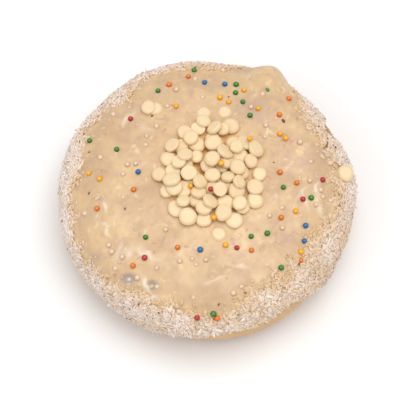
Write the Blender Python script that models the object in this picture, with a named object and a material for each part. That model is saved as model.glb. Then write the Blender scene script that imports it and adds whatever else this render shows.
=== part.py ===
"""A round filled doughnut, iced on top, with a coconut edge, sugar pearls and a heap of white drops.

Run with: blender --background --python part.py
Metres, +Z up. The origin is the middle of the flat base that the doughnut rests on.

The body is a flattened ball of dough. A station says where a point lies on its outline: up to RIM it is
the angle of the rounded side in degrees, 0 at the widest line, and from RIM to MIDDLE it runs over the
slightly crowned top to its centre. A turn is the angle round the upright axis, 0 at +X.
"""

import math

import bmesh
import bpy
import numpy as np

MM = 0.001

# Dough
DOUGH_RADIUS = 46.5 * MM
SIDE_DEPTH = 15.4 * MM  # how far in from the widest line the rounded side reaches
WIDEST_HEIGHT = 15.0 * MM
UPPER_RISE = 14.9 * MM  # from the widest line to the top's rim
LOWER_DROP = 16.5 * MM  # the lower curve, which the flat base cuts off
RIM = 85.0
MIDDLE = 185.0
CROWN = 1.25 * MM
# Waves round the body: count, share, phase
RIPPLES = ((2, 0.004, 2.55), (3, 0.009, -1.6), (4, 0.010, -1.21), (5, 0.003, -1.26))
DOUGH_SIDES = 48
DOUGH_RINGS = 13

# Icing and the coconut that is stuck in its edge
GAP = 0.3 * MM
ICING = 1.0 * MM
SWELL = 0.35 * MM
SWELL_LENGTH = 21.0 * MM
SWELL_WAVES = 9
COCONUT_BUMP = 0.95 * MM
ICING_SIDES = 84
ICING_RINGS = 20
ICING_LOW = -17.0  # the station where the coating ends, apart from the bare patches below
COCONUT_TOP = 52.0  # the station where the coconut ends, apart from the patches below
# Patches, each a turn, a half width and a rise: of the coating's lower edge, and of the coconut's upper one
BARE_PATCHES = ((-51.0, 11.0, 32.0), (-84.0, 20.0, 37.0), (25.5, 8.5, 63.0))
COCONUT_PATCHES = (
    (-48.0, 22.0, 14.0),
    (28.0, 10.0, 15.0),
    (133.0, 5.0, 8.0),
    (153.0, 5.0, -15.0),
    (-147.0, 18.0, -18.0),
    (-92.0, 6.0, -9.0),
)
DRIP_TURN = 62.3
DRIP_STATION = 26.0
DRIP_SIZE = (5.2, 26.0)  # half widths of the drip: in turn and in station
DRIP_OUT = 4.2 * MM
DRIP_CLEAR = 8.5  # half width, in turn, of the stretch round the drip that has no coconut

# Toppings
HEAP_MIDDLE = (0.8 * MM, 1.4 * MM)
HEAP_REACH = (16.5 * MM, 19.2 * MM)
HEAP_PEAK = 2.6 * MM
HEAP_SEED = 119
HEAP_TRIES = 6  # places tried for each drop, of which the lowest is taken
DROPS = 64
DROP_RADIUS = 2.45 * MM
DROP_THICKNESS = 1.75 * MM
DROP_SIDES = 8
DROP_RINGS = 4
MOST_TILT = 0.8
SEEN_SHARE = 0.25
GROUND_STEP = 0.4 * MM
HEAP_LIFT = GAP + 0.1 * MM
CORE_DEPTH = 1.2 * MM
CORE_SIDES = 24
CORE_RINGS = 12
PEARL_RADIUS = 0.92 * MM
PEARL_RISE = 0.35 * PEARL_RADIUS  # from the icing's surface to the pearl's middle
PEARLS = 50
PEARL_REACH = 40.5 * MM
PEARL_SPACING = 2.0 * MM
PEARL_DRIFT = 58.0  # the turn towards which the pearls lie thicker
PEARL_BIAS = 0.22
PEARL_SEED = 35
EDGE_PEARLS = ((-94.0, 42.0), (-87.5, 48.0), (-86.0, 43.0), (159.0, 56.0))  # turn, station
PEARL_SIDES = 6
PEARL_RINGS = 4
# Stray drops on the icing: turn, station, share of the usual size, share of the thickness that shows, and how
# far they turn from facing straight out of the icing (0) to facing straight up (1)
STRAY_DROPS = (
    (127.5, 91.0, 0.98, 0.95, 0.0),
    (124.3, 95.5, 0.98, 0.5, 0.0),
    (92.5, 115.5, 1.0, 0.35, 0.0),
    (76.0, 111.0, 0.95, 0.25, 0.0),
    (5.5, 39.5, 1.14, 0.95, 0.85),
    (-79.0, 127.0, 1.0, 0.35, 0.0),
)

COLOURS = {
    "dough": ((0.60, 0.38, 0.18, 1.0), 0.75),
    "icing": ((0.80, 0.58, 0.35, 1.0), 0.35),
    "drop_heap": ((0.88, 0.68, 0.40, 1.0), 0.45),
}


def clear_scene():
    """Removes every object, so that the model starts from nothing."""
    for thing in list(bpy.data.objects):
        bpy.data.objects.remove(thing)


def new_collection(name):
    """A collection linked to the scene."""
    made = bpy.data.collections.new(name)
    bpy.context.scene.collection.children.link(made)
    return made


def material(name):
    """A plain Principled material with the sub-part's colour and roughness."""
    colour, roughness = COLOURS[name]
    made = bpy.data.materials.new(name)
    made.use_nodes = True
    shader = made.node_tree.nodes["Principled BSDF"]
    shader.inputs["Base Color"].default_value = colour
    shader.inputs["Roughness"].default_value = roughness
    shader.inputs["Metallic"].default_value = 0.0
    return made


def bump(angle, middle, half_width):
    """A smooth hump of height 1 round an angle in degrees."""
    away = (angle - middle + 180.0) % 360.0 - 180.0
    return np.exp(-0.5 * (away / half_width) ** 2)


def ripple(turn):
    """How much wider or narrower the body is at a turn in degrees, as a factor."""
    angle = np.radians(turn)
    return 1.0 + sum(share * np.cos(count * angle + phase) for count, share, phase in RIPPLES)


def outline(station, out):
    """Radius and height of the surface that lies a distance out from the dough, at a station."""
    angle = np.radians(np.minimum(station, RIM))
    drop = np.where(station > 0.0, UPPER_RISE, LOWER_DROP)
    rim_radius = DOUGH_RADIUS - SIDE_DEPTH + (SIDE_DEPTH + out) * np.cos(angle)
    rim_height = WIDEST_HEIGHT + (drop + out) * np.sin(angle)
    inset = np.clip((MIDDLE - station) / (MIDDLE - RIM), 0.0, 1.0)
    radius = rim_radius * inset
    height = rim_height + CROWN * (1.0 - inset**2)
    return radius, height


def surface(turn, station, out):
    """Points at a turn and a station, a distance out from the dough."""
    radius, height = outline(station, out)
    radius = radius * ripple(turn)
    angle = np.radians(turn)
    return np.stack([radius * np.cos(angle), radius * np.sin(angle), height], axis=-1)


def swell(points):
    """A slow, uneven rise and fall of the icing, from a few plane waves with seeded directions."""
    draw = np.random.default_rng(11)
    total = np.zeros(points.shape[:-1])
    for _ in range(SWELL_WAVES):
        way = draw.normal(size=3)
        way /= np.linalg.norm(way)
        length = SWELL_LENGTH * draw.uniform(0.6, 1.5)
        total += np.sin(points @ way * math.tau / length + draw.uniform(0.0, math.tau))
    return SWELL * total / math.sqrt(SWELL_WAVES)


def lower_edge(turn):
    """The station where the coating ends, at a turn."""
    wander = 2.5 * np.sin(np.radians(turn * 4.0) + 0.7) + 1.6 * np.sin(np.radians(turn * 17.0))
    return ICING_LOW + wander + sum(rise * bump(turn, *place) for *place, rise in BARE_PATCHES)


def coconut_edge(turn):
    """The station where the coconut ends on the icing, at a turn."""
    wander = 1.5 * np.sin(np.radians(turn * 5.0)) + 2.0 * np.sin(np.radians(turn * 11.0) + 1.3)
    drip = -60.0 * bump(turn, DRIP_TURN, DRIP_CLEAR)
    return COCONUT_TOP + wander + drip + sum(rise * bump(turn, *place) for *place, rise in COCONUT_PATCHES)


def icing_out(turn, station):
    """How far out from the dough the smooth icing's surface lies."""
    drip = DRIP_OUT * bump(turn, DRIP_TURN, DRIP_SIZE[0]) * bump(station, DRIP_STATION, DRIP_SIZE[1])
    return GAP + ICING + swell(surface(turn, station, ICING)) + drip


def icing_height(x, y):
    """The height of the icing's top at places on it."""
    turn = np.degrees(np.arctan2(y, x))
    stations = np.linspace(30.0, MIDDLE, 120)
    radii, heights = outline(stations, GAP + ICING)
    radius = np.hypot(x, y) / ripple(turn)
    height = np.interp(radius, radii[::-1], heights[::-1])
    return height + swell(np.stack([x, y, height], axis=-1))


def shaped_sphere(name, sides, rings, shape, collection):
    """A sphere whose every point is moved to shape(turn in degrees, row), row 0 being the top point."""
    mesh = bpy.data.meshes.new(name)
    made = bpy.data.objects.new(name, mesh)
    collection.objects.link(made)
    ball = bmesh.new()
    bmesh.ops.create_uvsphere(ball, u_segments=sides, v_segments=rings, radius=1.0)
    points = np.array([vertex.co for vertex in ball.verts])
    turn = np.degrees(np.arctan2(points[:, 1], points[:, 0]))
    row = np.rint(np.arccos(np.clip(points[:, 2], -1.0, 1.0)) / math.pi * rings)
    for vertex, place in zip(ball.verts, shape(turn, row)):
        vertex.co = place
    bmesh.ops.recalc_face_normals(ball, faces=ball.faces)
    ball.to_mesh(mesh)
    ball.free()
    return made


def body_shape(out):
    """A shape for shaped_sphere: the whole dough body, grown by a distance, on its flat base."""
    foot = DOUGH_RINGS - 2
    base_station = -math.degrees(math.asin(WIDEST_HEIGHT / LOWER_DROP))

    def shape(turn, row):
        points = surface(turn, np.interp(row, [0, 3, foot], [MIDDLE, RIM, base_station]), out)
        points[:, :2] *= np.clip((DOUGH_RINGS - row) / 2.0, 0.0, 1.0)[:, None]
        points[:, 2] = np.where(row >= foot, -out, points[:, 2])
        return points

    return shape


def icing_shape(turn, row):
    """A shape for shaped_sphere: the icing's outside down to its lower edge, then closed inside the dough."""
    top, rim, low, lip = 3, 7, ICING_RINGS - 3, ICING_RINGS - 2
    half = (rim + low) / 2.0
    edge = lower_edge(turn)
    coconut = np.maximum(coconut_edge(turn), edge)
    between = (edge + np.maximum(coconut, edge + 12.0)) / 2.0
    station = np.interp(row, [0, top, rim], [MIDDLE, 118.0, 70.0])
    upper = 70.0 + (between - 70.0) * (row - rim) / (half - rim)
    lower = between + (edge - between) * (row - half) / (low - half)
    station = np.where(row > rim, upper, station)
    station = np.where(row > half, lower, station)
    station = np.where(row > low, edge - 2.0, station)
    crags = np.random.default_rng(5).uniform(-0.5, 1.0, size=len(row))
    rough = (station < coconut) & (row <= low)
    out = icing_out(turn, station) + COCONUT_BUMP * crags * rough
    out = np.where(row >= lip, -2.0 * MM, out)
    points = surface(turn, station, out)
    points[:, :2] *= np.clip((ICING_RINGS - row) / 2.0, 0.0, 1.0)[:, None]
    return points


def facing(normal):
    """Rotation matrix, as an array, that turns +Z to the normal."""
    normal = normal / np.linalg.norm(normal)
    side = np.cross([0.0, 1.0, 0.0], normal)
    side /= np.linalg.norm(side)
    return np.stack([side, np.cross(normal, side), normal], axis=1)


def outward(turn, station):
    """The direction straight out of the body at a turn and a station."""
    step = 0.5
    middle = surface(turn, station, 0.0)
    along = surface(turn + step, station, 0.0) - middle
    up = surface(turn, station + step, 0.0) - middle
    return np.cross(along, up)


def drop_shape(radius, thickness, turned, middle):
    """A shape for shaped_sphere: a flattened drop, domed above and flat below."""
    profile_radius = np.interp(np.arange(DROP_RINGS + 1), range(5), [0.0, 0.8, 1.0, 0.86, 0.0])
    profile_height = np.interp(np.arange(DROP_RINGS + 1), range(5), [0.5, 0.43, -0.1, -0.46, -0.5])

    def shape(turn, row):
        across = radius * profile_radius[row.astype(int)]
        height = thickness * profile_height[row.astype(int)]
        angle = np.radians(turn)
        local = np.stack([across * np.cos(angle), across * np.sin(angle), height], axis=-1)
        return local @ turned.T + middle

    return shape


def resting_plane(dx, dy, height):
    """Slopes and middle height of the plane that rests on the points around a middle."""
    best = np.zeros(2)
    span = MOST_TILT
    for _ in range(6):
        tries = np.linspace(-span, span, 9)
        slopes = np.stack(np.meshgrid(best[0] + tries, best[1] + tries), axis=-1).reshape(-1, 2)
        slopes = np.clip(slopes, -MOST_TILT, MOST_TILT)
        levels = (height - slopes[:, :1] * dx - slopes[:, 1:] * dy).max(axis=1)
        best = slopes[levels.argmin()]
        span *= 0.4
    return best[0], best[1], levels.min()


def heap_layout():
    """The drops of the heap, dropped one by one on the icing and on each other.

    Returns the drops as (middle, rotation, radius, thickness, share seen from above), and the ground
    under and over them as (x, y, height), three square grids.
    """
    draw = np.random.default_rng(HEAP_SEED)
    reach = max(HEAP_REACH) + 2.0 * DROP_RADIUS
    line = np.arange(-reach, reach, GROUND_STEP)
    x, y = np.meshgrid(line + HEAP_MIDDLE[0], line + HEAP_MIDDLE[1], indexing="ij")
    ground = icing_height(x, y) + HEAP_LIFT
    bare = ground.copy()
    owner = np.full(ground.shape, -1)
    drops = []
    for number in range(DROPS):
        radius = DROP_RADIUS * draw.uniform(0.86, 1.16)
        thickness = DROP_THICKNESS * draw.uniform(0.85, 1.15)
        options = []
        for _ in range(HEAP_TRIES):
            away = math.sqrt(draw.uniform())
            angle = draw.uniform(0.0, math.tau)
            px = HEAP_MIDDLE[0] + HEAP_REACH[0] * away * math.cos(angle)
            py = HEAP_MIDDLE[1] + HEAP_REACH[1] * away * math.sin(angle)
            near = np.hypot(x - px, y - py) < 0.95 * radius
            slope_x, slope_y, level = resting_plane(x[near] - px, y[near] - py, ground[near])
            wanted = HEAP_PEAK * (1.0 - away**2)
            options.append((level - bare[near].mean() - wanted, px, py, slope_x, slope_y, level))
        _, px, py, slope_x, slope_y, level = min(options)
        normal = np.array([-slope_x, -slope_y, 1.0]) / math.hypot(slope_x, slope_y, 1.0)
        middle = np.array([px, py, level]) + normal * thickness * 0.5
        away = np.hypot(x - px, y - py)
        under = away < radius
        dome = thickness * (0.4 + 0.6 * np.sqrt(np.clip(1.0 - (away / radius) ** 2, 0.0, 1.0)))
        top = level + slope_x * (x - px) + slope_y * (y - py) + dome
        higher = under & (top > ground)
        ground[higher] = top[higher]
        owner[higher] = number
        drops.append([middle, facing(normal), radius, thickness, under.sum()])
    for number, drop in enumerate(drops):
        drop[4] = (owner == number).sum() / drop[4]
    return drops, (x, y, ground)


def add_drop(name, drop, grow, collection):
    """One white drop, as a faceted solid."""
    middle, turned, radius, thickness, _ = drop
    shape = drop_shape(radius * grow, thickness * grow, turned, middle)
    return shaped_sphere(name, DROP_SIDES, DROP_RINGS, shape, collection)


def add_pearl(name, middle, collection):
    """One sugar pearl, as a faceted ball."""

    def shape(turn, row):
        angle = np.radians(turn)
        lean = row * math.pi / PEARL_RINGS
        ball = np.stack(
            [np.sin(lean) * np.cos(angle), np.sin(lean) * np.sin(angle), np.cos(lean)], axis=-1
        )
        return middle + PEARL_RADIUS * ball

    return shaped_sphere(name, PEARL_SIDES, PEARL_RINGS, shape, collection)


def pearl_places():
    """Middles of the pearls that lie on the icing, spread at random but never one on another."""
    draw = np.random.default_rng(PEARL_SEED)
    stray = [surface(turn, station, 0.0)[:2] for turn, station, *_ in STRAY_DROPS]
    found = []
    while len(found) < PEARLS:
        angle = draw.uniform(0.0, math.tau)
        away = math.sqrt(draw.uniform())
        lean = away * math.cos(angle - math.radians(PEARL_DRIFT))
        if draw.uniform() > 1.0 - PEARL_BIAS + PEARL_BIAS * lean:
            continue
        place = PEARL_REACH * away * np.array([math.cos(angle), math.sin(angle)])
        if np.linalg.norm((place - HEAP_MIDDLE) / HEAP_REACH) < 1.0 + 1.7 * DROP_RADIUS / min(HEAP_REACH):
            continue
        if any(np.linalg.norm(place - other[:2]) < PEARL_SPACING for other in found):
            continue
        if any(np.linalg.norm(place - other) < DROP_RADIUS + 1.2 * PEARL_RADIUS for other in stray):
            continue
        height = icing_height(place[:1], place[1:])[0]
        found.append(np.array([*place, height + PEARL_RISE]))
    for turn, station in EDGE_PEARLS:
        found.append(surface(turn, station, icing_out(turn, station) + PEARL_RISE))
    return found


def merged(base, helpers):
    """The base joined with everything in the helper collection by one Boolean union, as a new mesh."""
    union = base.modifiers.new("join", "BOOLEAN")
    union.operation = "UNION"
    union.operand_type = "COLLECTION"
    union.collection = helpers
    union.solver = "EXACT"
    apply_modifiers(base)
    for helper in list(helpers.objects):
        bpy.data.objects.remove(helper)


def cut(base, cutter):
    """The base without what lies inside the cutter."""
    difference = base.modifiers.new("cut", "BOOLEAN")
    difference.operation = "DIFFERENCE"
    difference.object = cutter
    difference.solver = "EXACT"
    apply_modifiers(base)
    bpy.data.objects.remove(cutter)


def apply_modifiers(thing):
    """Makes an object's mesh the one that its modifiers give, and takes them off."""
    graph = bpy.context.evaluated_depsgraph_get()
    mesh = bpy.data.meshes.new_from_object(thing.evaluated_get(graph))
    thing.modifiers.clear()
    thing.data = mesh


def keep_one_body(thing):
    """Drops sealed hollows and loose scraps, so that one closed body is left."""
    work = bmesh.new()
    work.from_mesh(thing.data)
    bmesh.ops.triangulate(work, faces=work.faces)
    left = set(work.verts)
    bodies = []
    while left:
        body, waiting = set(), [left.pop()]
        while waiting:
            vertex = waiting.pop()
            body.add(vertex)
            for edge in vertex.link_edges:
                other = edge.other_vert(vertex)
                if other in left:
                    left.remove(other)
                    waiting.append(other)
        bodies.append(body)
    largest = max(bodies, key=len)
    scraps = [vertex for body in bodies if body is not largest for vertex in body]
    bmesh.ops.delete(work, geom=scraps, context="VERTS")
    work.to_mesh(thing.data)
    work.free()


def finish(thing, name):
    """Gives a sub-part its material and smooth shading with sharp creases kept."""
    thing.data.materials.clear()
    thing.data.materials.append(material(name))
    thing.data.shade_smooth()
    thing.data.set_sharp_from_angle(angle=math.radians(40.0))


def make_dough(parts):
    """The dough body, flat below."""
    dough = shaped_sphere("dough", DOUGH_SIDES, DOUGH_RINGS, body_shape(0.0), parts)
    finish(dough, "dough")


def make_icing(parts, helpers):
    """The icing with the coconut's relief, and with pearls and stray drops fused on."""
    icing = shaped_sphere("icing", ICING_SIDES, ICING_RINGS, icing_shape, parts)
    for number, place in enumerate(pearl_places()):
        add_pearl(f"pearl_{number}", place, helpers)
    for number, (turn, station, size, rise, lean) in enumerate(STRAY_DROPS):
        normal = outward(turn, station)
        normal = (1.0 - lean) * normal / np.linalg.norm(normal) + lean * np.array([0.0, 0.0, 1.0])
        middle = surface(turn, station, icing_out(turn, station) + (rise - 0.5) * DROP_THICKNESS)
        stray = (middle, facing(normal), DROP_RADIUS * size, DROP_THICKNESS, 1.0)
        add_drop(f"stray_{number}", stray, 1.0, helpers)
    merged(icing, helpers)
    cutter = shaped_sphere("dough_clearance", DOUGH_SIDES, DOUGH_RINGS, body_shape(GAP), helpers)
    cut(icing, cutter)
    keep_one_body(icing)
    finish(icing, "icing")


def make_heap(parts, helpers):
    """The heap of white drops: a low core with the drops that show fused on."""
    drops, (x, y, ground) = heap_layout()
    spots = np.array([drop[0][:2] for drop in drops]) - HEAP_MIDDLE
    directions = np.degrees(np.arctan2(spots[:, 1], spots[:, 0]))

    def core_shape(turn, row):
        reach = np.hypot(*spots.T) * bump(turn[:, None], directions, 9.0)
        inset = (1.0 - np.abs(row - CORE_RINGS / 2.0) / (CORE_RINGS / 2.0)) * reach.max(axis=1)
        angle = np.radians(turn)
        px = HEAP_MIDDLE[0] + inset * np.cos(angle)
        py = HEAP_MIDDLE[1] + inset * np.sin(angle)
        low = icing_height(px, py) + HEAP_LIFT
        near = np.hypot(x[..., None] - px, y[..., None] - py) < DROP_RADIUS
        mean = (ground[..., None] * near).sum(axis=(0, 1)) / near.sum(axis=(0, 1))
        high = np.maximum(mean - CORE_DEPTH, low + 0.6 * MM)
        return np.stack([px, py, np.where(row <= CORE_RINGS / 2.0, high, low)], axis=-1)

    heap = shaped_sphere("drop_heap", CORE_SIDES, CORE_RINGS, core_shape, parts)
    for number, drop in enumerate(drops):
        if drop[4] > SEEN_SHARE:
            add_drop(f"drop_{number}", drop, 1.06, helpers)
    merged(heap, helpers)
    keep_one_body(heap)
    finish(heap, "drop_heap")


def main():
    """Builds the doughnut."""
    clear_scene()
    parts = new_collection("iced_doughnut")
    helpers = new_collection("cutters_and_toppings")
    helpers.hide_render = True
    make_dough(parts)
    make_icing(parts, helpers)
    make_heap(parts, helpers)


main()
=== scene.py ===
"""Looks of a round iced doughnut: pale dough, cream icing, a coconut edge, sugar pearls and white drops.

Metres, +Z up, in the frame of the solids. The origin is the middle of the flat base. A turn is an angle
in degrees round the upright axis, 0 at +X. A station says how far along the dough's outline a place
lies: the angle of the rounded side up to the rim, 0 at the widest line, then on over the top.
"""

import logging
import math
from dataclasses import dataclass, field, replace
from enum import Enum
from functools import cached_property
from typing import Optional, Sequence

import bpy
import numpy as np
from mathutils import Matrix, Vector

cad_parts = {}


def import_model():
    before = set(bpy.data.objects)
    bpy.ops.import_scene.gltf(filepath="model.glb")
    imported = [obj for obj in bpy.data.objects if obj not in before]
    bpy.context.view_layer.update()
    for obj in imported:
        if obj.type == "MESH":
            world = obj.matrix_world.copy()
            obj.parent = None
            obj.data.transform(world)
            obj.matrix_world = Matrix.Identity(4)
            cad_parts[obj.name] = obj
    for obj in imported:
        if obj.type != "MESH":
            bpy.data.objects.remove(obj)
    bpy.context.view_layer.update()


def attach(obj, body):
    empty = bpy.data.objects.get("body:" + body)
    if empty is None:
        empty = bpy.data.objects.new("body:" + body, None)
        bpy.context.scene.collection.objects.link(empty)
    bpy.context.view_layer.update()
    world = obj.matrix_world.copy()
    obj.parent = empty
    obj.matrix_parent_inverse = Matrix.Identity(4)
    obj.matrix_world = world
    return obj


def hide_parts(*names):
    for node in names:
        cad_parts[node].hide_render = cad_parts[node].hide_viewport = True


Array = np.ndarray
Colour = tuple[float, float, float]
Socket = bpy.types.NodeSocket

MM = 0.001
BODY = "root"
LOG = logging.getLogger("iced_doughnut")


def srgb(red: float, green: float, blue: float) -> Colour:
    """Turns a screen colour into the linear one that shaders take.

    Args:
        red: red, 0 to 255.
        green: green, 0 to 255.
        blue: blue, 0 to 255.

    Returns:
        The linear colour, 0 to 1.
    """
    shares = np.array([red, green, blue]) / 255.0
    linear = np.where(shares <= 0.04045, shares / 12.92, ((shares + 0.055) / 1.055) ** 2.4)
    return tuple(float(value) for value in linear)


def bump(angle: Array, middle: float, half_width: float) -> Array:
    """A hump of height 1 round an angle in degrees: exp(-(away / half width)^2 / 2), away wrapped."""
    away = (angle - middle + 180.0) % 360.0 - 180.0
    return np.exp(-0.5 * (away / half_width) ** 2)


def humps(turn: Array, patches: Sequence[tuple[float, float, float]]) -> Array:
    """The sum of many bumps, each patch giving its middle, half width and height."""
    return sum(rise * bump(turn, *place) for *place, rise in patches)


def sines(turn: Array, waves: Sequence[tuple]) -> Array:
    """The sum of height * sin(count * turn + phase), each wave giving its height, count and phase."""
    return sum(height * np.sin(np.radians(turn * count) + phase) for height, count, phase in waves)


def bell(away: Array, width: float) -> Array:
    """A hump of height 1 round 0: exp(-(away / width)^2)."""
    return np.exp(-((away / width) ** 2))


def falloff(past: Array, width: float) -> Array:
    """A smooth step from 1 down to 0 across 0: 1 / (1 + exp(past / width))."""
    return 1.0 / (1.0 + np.exp(past / width))


def steps(count: int) -> Array:
    """A column of equal steps up to 1, the first one past 0."""
    return np.linspace(0.0, 1.0, count + 1)[1:, None]


def unit(vectors: Array) -> Array:
    """Vectors at length 1."""
    return vectors / np.linalg.norm(vectors, axis=-1, keepdims=True)


def facing(normals: Array) -> Array:
    """Rotation matrices that turn +Z to each normal, with columns side, up and normal.

    Args:
        normals: directions, one a row.

    Returns:
        One 3 by 3 matrix for each normal.
    """
    out = unit(normals)
    side = unit(np.cross([0.0, 1.0, 0.0], out))
    return np.stack([side, np.cross(out, side), out], axis=-1)


def turned_about(axis: str, angles: Array) -> Array:
    """Rotation matrices about Y or Z.

    Args:
        axis: "y" or "z".
        angles: angles in radians.

    Returns:
        One 3 by 3 matrix for each angle.
    """
    first, second = {"y": (2, 0), "z": (0, 1)}[axis]
    made = np.tile(np.eye(3), (len(angles), 1, 1))
    made[:, first, first] = made[:, second, second] = np.cos(angles)
    made[:, second, first] = np.sin(angles)
    made[:, first, second] = -np.sin(angles)
    return made


def placed(shapes: Array, frames: Array, middles: Array) -> Array:
    """Shapes of points, each turned by its own matrix and moved to its own middle."""
    return np.einsum("nij,npj->npi", frames, shapes) + middles[:, None]


@dataclass(frozen=True)
class Waves:
    """A smooth random field: a sum of plane sine waves with seeded directions, lengths and phases."""

    seed: int
    length: float
    height: float
    count: int = 9
    spread: tuple[float, float] = (0.6, 1.5)

    def at(self, points: Array) -> Array:
        """The field: height / sqrt(count) times the sum of sin(point . way * 2 pi / length + phase).

        Args:
            points: places, the last axis being X, Y, Z.

        Returns:
            The field's value at each place.
        """
        draw = np.random.default_rng(self.seed)
        total = np.zeros(points.shape[:-1])
        for _ in range(self.count):
            way = draw.normal(size=3)
            way /= np.linalg.norm(way)
            length = self.length * draw.uniform(*self.spread)
            total += np.sin(points @ way * math.tau / length + draw.uniform(0.0, math.tau))
        return self.height * total / math.sqrt(self.count)


@dataclass(frozen=True)
class Body:
    """The dough's outline, the same as the solids have."""

    radius: float = 46.5 * MM
    side_depth: float = 15.4 * MM
    widest_height: float = 15.0 * MM
    upper_rise: float = 14.9 * MM
    lower_drop: float = 16.5 * MM
    rim: float = 85.0
    middle: float = 185.0
    crown: float = 1.25 * MM
    # Waves round the outline: how many, their share of the radius and their phase
    ripples: tuple = ((2, 0.004, 2.55), (3, 0.009, -1.6), (4, 0.010, -1.21), (5, 0.003, -1.26))
    step: float = 0.5  # the turn or station over which slopes are read
    pole_margin: float = 2.0  # how far short of the middle the last slope is read

    @property
    def base_station(self) -> float:
        """The station where the lower curve meets the flat base."""
        return -math.degrees(math.asin(self.widest_height / self.lower_drop))

    def ripple(self, turn: Array) -> Array:
        """How much wider or narrower the body is at a turn: 1 plus a few cosines of the turn."""
        angle = np.radians(turn)
        return 1.0 + sum(share * np.cos(count * angle + phase) for count, share, phase in self.ripples)

    def outline(self, station: Array, out: Array) -> tuple[Array, Array]:
        """Radius and height of the surface a distance out from the dough.

        The side is a quarter ellipse above the widest line and another below it. The top narrows to its
        middle in step with the station, and its crown is a parabola.

        Args:
            station: where on the outline.
            out: distance out from the dough.

        Returns:
            Radius and height.
        """
        angle = np.radians(np.minimum(station, self.rim))
        drop = np.where(station > 0.0, self.upper_rise, self.lower_drop)
        rim_radius = self.radius - self.side_depth + (self.side_depth + out) * np.cos(angle)
        rim_height = self.widest_height + (drop + out) * np.sin(angle)
        inset = np.clip((self.middle - station) / (self.middle - self.rim), 0.0, 1.0)
        return rim_radius * inset, rim_height + self.crown * (1.0 - inset**2)

    def surface(self, turn: Array, station: Array, out: Array) -> Array:
        """Points at a turn and a station: the outline's radius, rippled, carried round the upright axis.

        Args:
            turn: angle round the axis, in degrees.
            station: where on the outline.
            out: distance out from the dough.

        Returns:
            The points.
        """
        radius, height = self.outline(station, out)
        radius = radius * self.ripple(turn)
        angle = np.radians(turn)
        return np.stack(np.broadcast_arrays(radius * np.cos(angle), radius * np.sin(angle), height), -1)

    def outward(self, turn: Array, station: Array) -> Array:
        """The direction out of the body: the cross product of small steps in turn and in station.

        Args:
            turn: angle round the axis, in degrees.
            station: where on the outline.

        Returns:
            Directions of length 1.
        """
        station = np.minimum(station, self.middle - self.pole_margin)
        here = self.surface(turn, station, 0.0)
        along = self.surface(turn + self.step, station, 0.0) - here
        up = self.surface(turn, station + self.step, 0.0) - here
        return unit(np.cross(along, up))


@dataclass(frozen=True)
class Coat:
    """Where the icing lies, how thick it is and where it carries coconut, the same as the solids have."""

    body: Body = Body()
    gap: float = 0.3 * MM
    thickness: float = 1.0 * MM
    swell: Waves = Waves(seed=11, length=21.0 * MM, height=0.35 * MM)
    # The stations of the coating's lower edge and of the coconut's edge, each with its waves round the
    # body: their height in degrees, how many and their phase
    low: float = -17.0
    low_waves: tuple = ((2.5, 4.0, 0.7), (1.6, 17.0, 0.0))
    coconut_top: float = 52.0
    coconut_waves: tuple = ((1.5, 5.0, 0.0), (2.0, 11.0, 1.3))
    # Patches, each a turn, a half width and a rise: first of the coating's lower edge, then of the coconut
    bare_patches: tuple = ((-51.0, 11.0, 32.0), (-84.0, 20.0, 37.0), (25.5, 8.5, 63.0))
    coconut_patches: tuple = (
        (-48.0, 22.0, 14.0), (28.0, 10.0, 15.0), (133.0, 5.0, 8.0), (153.0, 5.0, -15.0),
        (-147.0, 18.0, -18.0), (-92.0, 6.0, -9.0),
    )
    drip_turn: float = 62.3
    drip_station: float = 26.0
    drip_size: tuple[float, float] = (5.2, 26.0)
    drip_out: float = 4.2 * MM
    drip_clear: float = 8.5
    drip_dip: float = 60.0
    fall_from: float = 30.0  # the lowest station at which the top's height is read
    fall_reads: int = 120

    def lower_edge(self, turn: Array) -> Array:
        """The station where the coating ends: a level, two sines of the turn, and the bare patches."""
        return self.low + sines(turn, self.low_waves) + humps(turn, self.bare_patches)

    def coconut_edge(self, turn: Array) -> Array:
        """The station where the coconut ends: a level, two sines, its patches and a dip at the drip."""
        patches = (*self.coconut_patches, (self.drip_turn, self.drip_clear, -self.drip_dip))
        return self.coconut_top + sines(turn, self.coconut_waves) + humps(turn, patches)

    def out(self, turn: Array, station: Array) -> Array:
        """How far out the smooth icing lies: gap, thickness, swell, and the drip's hump in turn and station.

        Args:
            turn: angle round the axis, in degrees.
            station: where on the outline.

        Returns:
            The distance out from the dough.
        """
        drip = bump(turn, self.drip_turn, self.drip_size[0])
        drip = self.drip_out * drip * bump(station, self.drip_station, self.drip_size[1])
        swell = self.swell.at(self.body.surface(turn, station, self.thickness))
        return self.gap + self.thickness + swell + drip

    def on_top(self, turn: Array, station: Array, above: Array = 0.0) -> Array:
        """Points on the smooth icing, or a distance above it."""
        return self.body.surface(turn, station, self.out(turn, station) + above)

    def height(self, x: Array, y: Array) -> Array:
        """Height of the icing's top at places on it, read off the outline by its radius.

        Args:
            x: distance along X.
            y: distance along Y.

        Returns:
            The height at each place.
        """
        turn = np.degrees(np.arctan2(y, x))
        stations = np.linspace(self.fall_from, self.body.middle, self.fall_reads)
        radii, heights = self.body.outline(stations, self.gap + self.thickness)
        height = np.interp(np.hypot(x, y) / self.body.ripple(turn), radii[::-1], heights[::-1])
        return height + self.swell.at(np.stack([x, y, height], axis=-1))


@dataclass(frozen=True)
class HeapArea:
    """The oval on the icing that the heap of drops covers, the same as the solids have."""

    middle: tuple[float, float] = (0.8 * MM, 1.4 * MM)
    reach: tuple[float, float] = (16.5 * MM, 19.2 * MM)

    def away(self, flat: Array) -> Array:
        """How far out places given by X and Y are: 0 in the middle, 1 on the oval's edge."""
        return np.linalg.norm((flat - np.array(self.middle)) / np.array(self.reach), axis=-1)


class Effect(Enum):
    """The shader effects that several finishes share."""

    MOTTLE = "mottle"
    GRAIN = "grain"
    FRECKLES = "freckles"


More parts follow.
